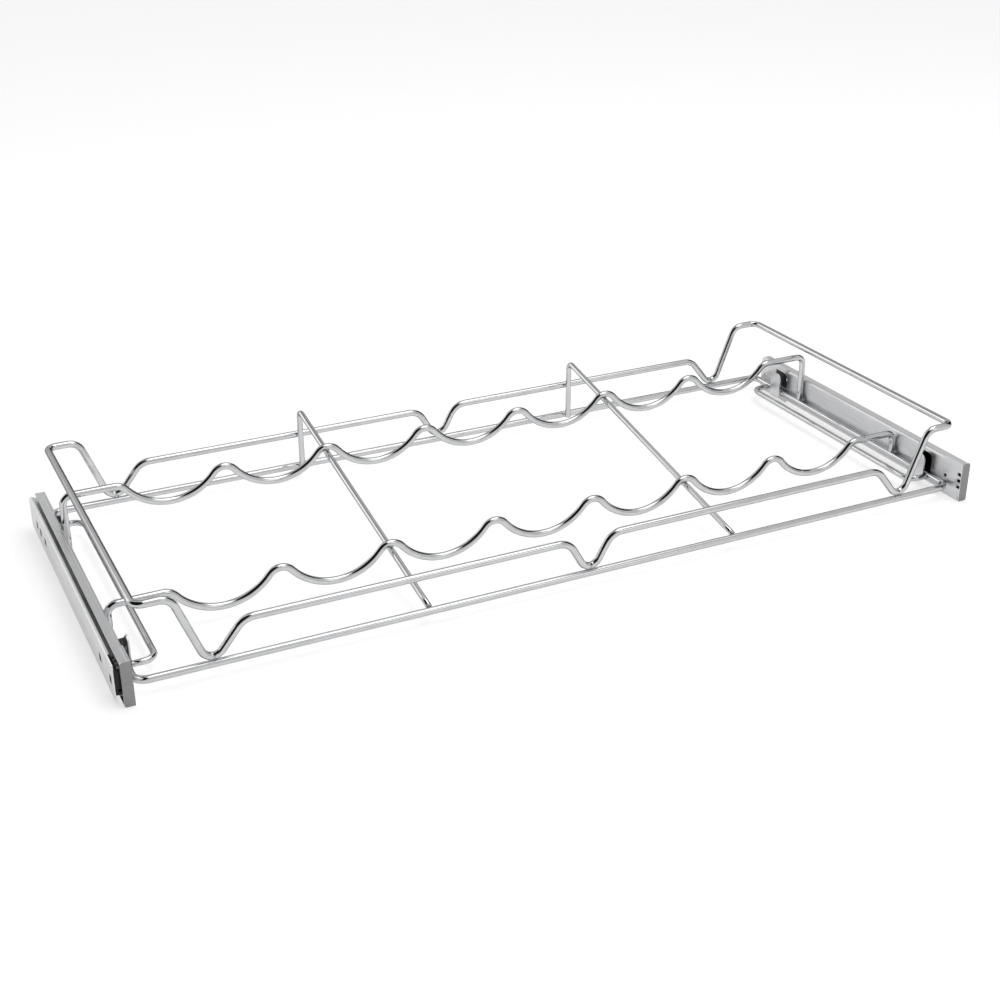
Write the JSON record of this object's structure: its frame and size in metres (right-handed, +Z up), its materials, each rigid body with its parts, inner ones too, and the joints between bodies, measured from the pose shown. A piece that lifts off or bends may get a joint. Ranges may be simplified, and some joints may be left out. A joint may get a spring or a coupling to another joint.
{
  "type": "slide-out wine rack",
  "caption": "Low chromed wire basket with two waved cross rests that hold bottles lying neck forward, carried on side-mounted ball-bearing slides.",
  "frame": {"origin": "under the middle of the rack, level with the lower edges of the slides' end faces", "axes": "+X to the rack's right seen from the front, +Y towards the back of the cabinet, +Z up"},
  "size_m": [0.762, 0.3134, 0.074],
  "materials": {
    "chrome_wire": "bright chromed steel wire",
    "drawer_sheet": "zinc-plated steel sheet, soft satin",
    "cabinet_sheet": "zinc-plated steel sheet, soft satin",
    "cage_strip": "plain spring-steel strip",
    "bearing_ball": "polished ball-bearing steel",
    "black_plastic": "moulded black plastic"
  },
  "bodies": {
    "cabinet_members": {"cabinet_member_left": "cabinet_sheet", "cabinet_member_right": "cabinet_sheet", "front_stop_left": "black_plastic", "front_stop_right": "black_plastic"},
    "basket": {"base_ring": "chrome_wire", "upper_guard_ring": "chrome_wire", "front_wave_wire": "chrome_wire", "rear_wave_wire": "chrome_wire", "cross_wire_left": "chrome_wire", "cross_wire_right": "chrome_wire", "side_stay_left": "chrome_wire", "side_stay_right": "chrome_wire", "drawer_member_left": "drawer_sheet", "drawer_member_right": "drawer_sheet"},
    "cage_left": {"ball_cage_left": "cage_strip", "ball_left_1": "bearing_ball", "ball_left_2": "bearing_ball", "ball_left_3": "bearing_ball", "ball_left_4": "bearing_ball", "ball_left_5": "bearing_ball", "ball_left_6": "bearing_ball", "ball_left_7": "bearing_ball", "ball_left_8": "bearing_ball"},
    "cage_right": {"ball_cage_right": "cage_strip", "ball_right_1": "bearing_ball", "ball_right_2": "bearing_ball", "ball_right_3": "bearing_ball", "ball_right_4": "bearing_ball", "ball_right_5": "bearing_ball", "ball_right_6": "bearing_ball", "ball_right_7": "bearing_ball", "ball_right_8": "bearing_ball"}
  },
  "joints": [
    {"name": "basket_slide", "type": "slide", "parent": "cabinet_members", "child": "basket", "axis": [0, -1, 0], "range_m": [0, 0.22]},
    {"name": "cage_left_slide", "type": "slide", "parent": "cabinet_members", "child": "cage_left", "axis": [0, -1, 0], "range_m": [0, 0.11]},
    {"name": "cage_right_slide", "type": "slide", "parent": "cabinet_members", "child": "cage_right", "axis": [0, -1, 0], "range_m": [0, 0.11]}
  ],
  "couplings": [
    {"joint": "cage_left_slide", "follows": "basket_slide", "ratio": 0.5},
    {"joint": "cage_right_slide", "follows": "basket_slide", "ratio": 0.5}
  ]
}
